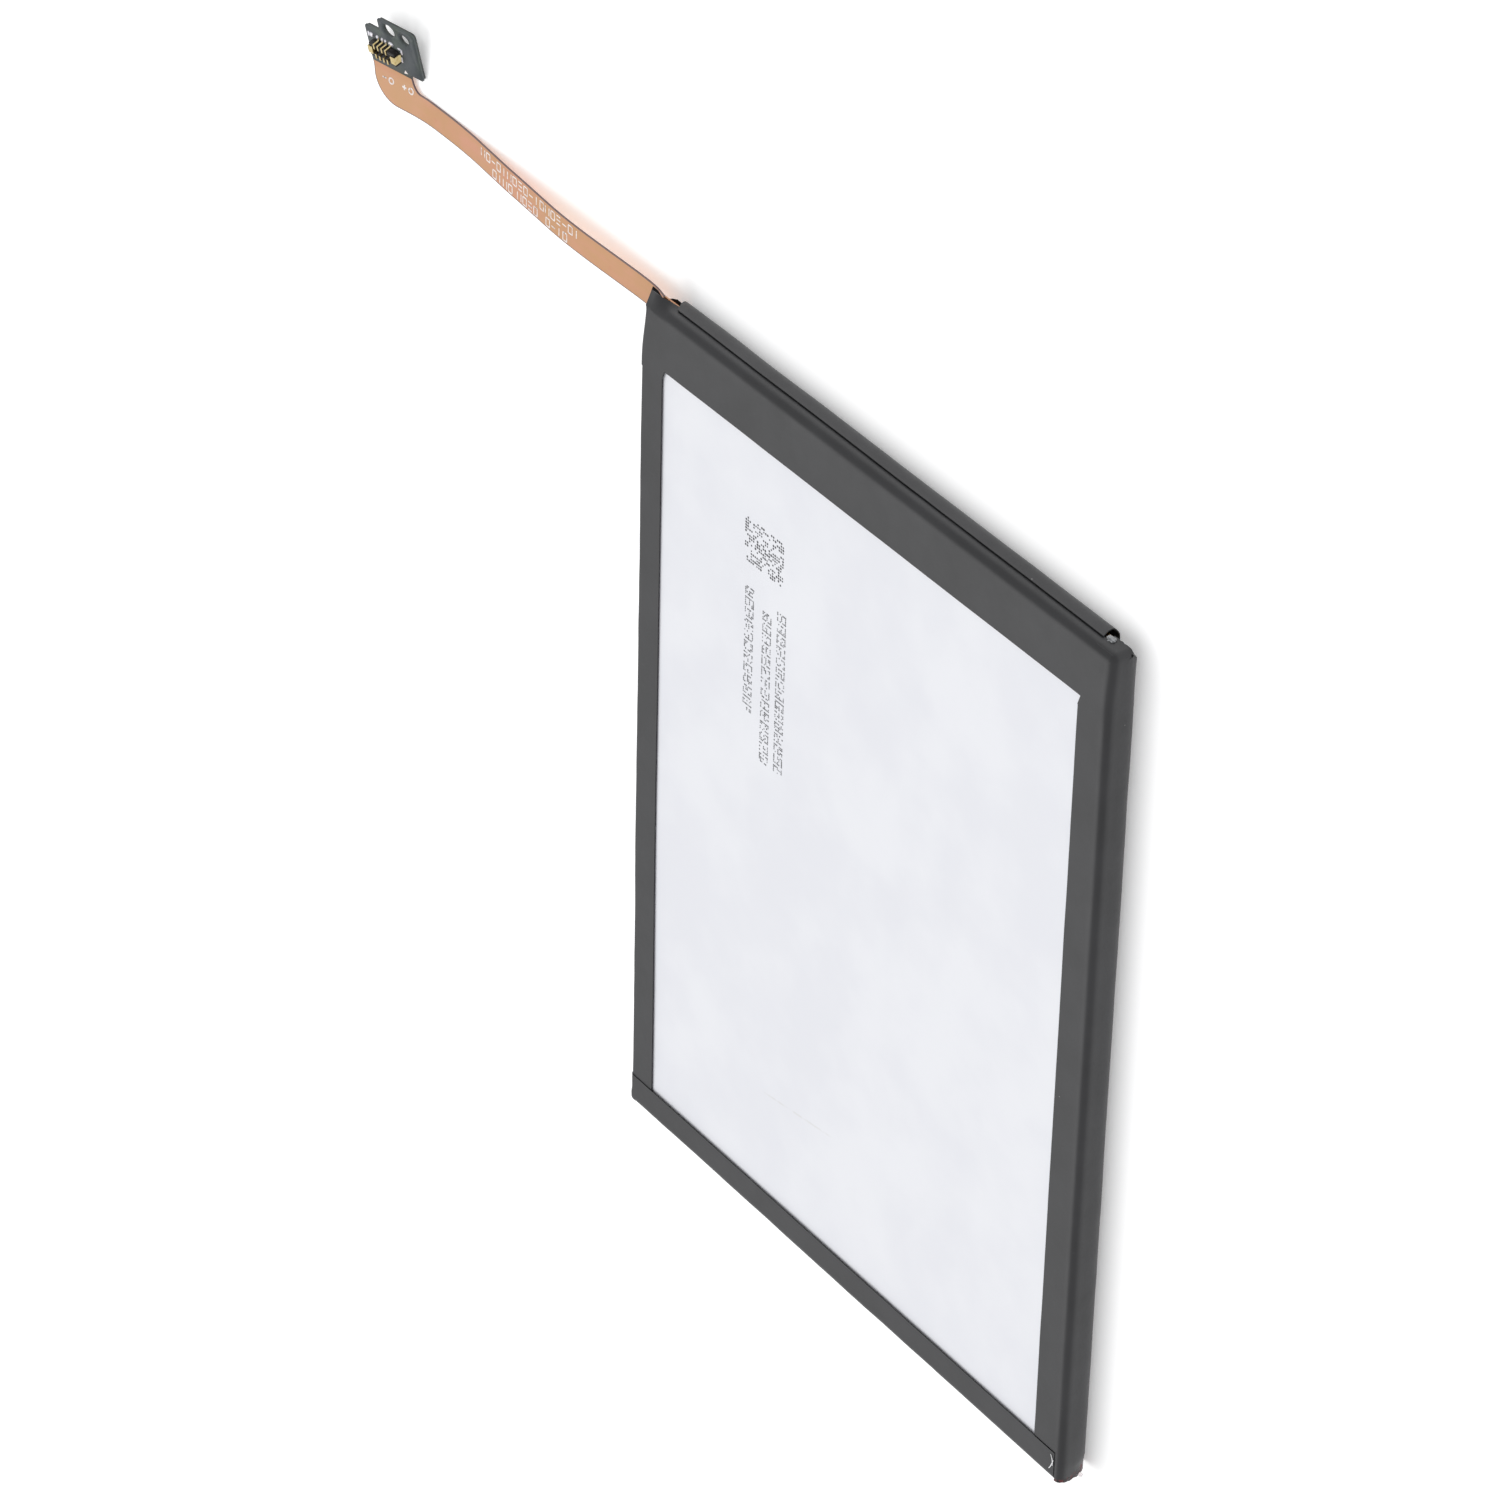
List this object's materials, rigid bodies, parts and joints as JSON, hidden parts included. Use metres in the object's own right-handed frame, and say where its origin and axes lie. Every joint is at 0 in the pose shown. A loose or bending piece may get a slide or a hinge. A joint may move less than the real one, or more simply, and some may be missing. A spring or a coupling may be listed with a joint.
{
  "type": "pouch battery cell",
  "caption": "Flat lithium-ion pouch cell wrapped in dark tape, with a protection board in its end and a flat flex tail ending in a small board connector.",
  "frame": {"origin": "under the middle of the wrapped pack, on the surface it lies on; the flex tail is not counted", "axes": "+Z out of the window face, +Y along the pack's length towards the end that holds the protection board, -X towards the flex tail"},
  "size_m": [0.111, 0.0936, 0.0038],
  "materials": {
    "tape": "satin dark grey polyester tape",
    "pouch": "matte silver laminate",
    "seal": "matte silver laminate",
    "cathode": "black coated aluminium foil",
    "anode": "dark grey coated copper foil",
    "separator": "white porous film",
    "nickel": "satin nickel",
    "aluminium": "satin aluminium",
    "film": "milky polypropylene",
    "amber": "clear amber film",
    "paper": "matte insulating paper",
    "foam": "black foam",
    "board": "dark green solder mask",
    "chip": "black moulding compound",
    "ceramic": "fired ceramic",
    "flex": "amber polyimide over copper",
    "mask": "dark slate cover film",
    "stiffener": "dark laminate",
    "connector": "black moulding",
    "gold": "gold plate"
  },
  "bodies": {
    "pack": {"pouch_cup": "pouch", "pouch_cover": "pouch", "side_seal_left": "seal", "side_seal_right": "seal", "cathode_foil": "cathode", "anode_foil": "anode", "separator_inner": "separator", "separator_outer": "separator", "roll_end_tape": "amber", "cathode_tab": "aluminium", "anode_tab": "nickel", "cathode_tab_film": "film", "anode_tab_film": "film", "cathode_weld_plate": "nickel", "anode_weld_plate": "nickel", "terrace_insulator": "amber", "protection_board": "board", "protection_chip": "chip", "switch_transistor": "chip", "sense_resistor": "ceramic", "thermistor": "ceramic", "filter_capacitor_1": "ceramic", "filter_capacitor_2": "ceramic", "id_resistor": "chip", "thermal_fuse": "chip", "board_cover": "paper", "foam_strip": "foam", "tape_top": "tape", "tape_bottom": "tape", "tape_left": "tape", "tape_right": "tape", "end_strip": "tape", "amber_tape_edge": "amber", "flex_root": "flex"},
    "flex_tail": {"flex_run": "flex", "flex_neck": "flex"},
    "flex_head": {"head_film": "mask", "head_stiffener": "stiffener", "connector_housing": "connector", "signal_contact_1": "gold", "signal_contact_2": "gold", "signal_contact_3": "gold", "signal_contact_4": "gold", "signal_contact_5": "gold", "signal_contact_6": "gold", "signal_contact_7": "gold", "signal_contact_8": "gold", "power_contact_left": "gold", "power_contact_right": "gold"}
  },
  "joints": [
    {"name": "flex_root_bend", "type": "hinge", "parent": "pack", "child": "flex_tail", "pos_m": [-0.03245, 0.04195, 0.00161], "axis": [0, 1, 0], "range_deg": [-60, 90], "stiffness_Nm_per_rad": 0.0009},
    {"name": "head_bend", "type": "hinge", "parent": "flex_tail", "child": "flex_head", "pos_m": [-0.07602, 0.04444, 0.00093], "axis": [0.9831, -0.0039, -0.183], "range_deg": [-90, 90], "stiffness_Nm_per_rad": 0.00002}
  ]
}
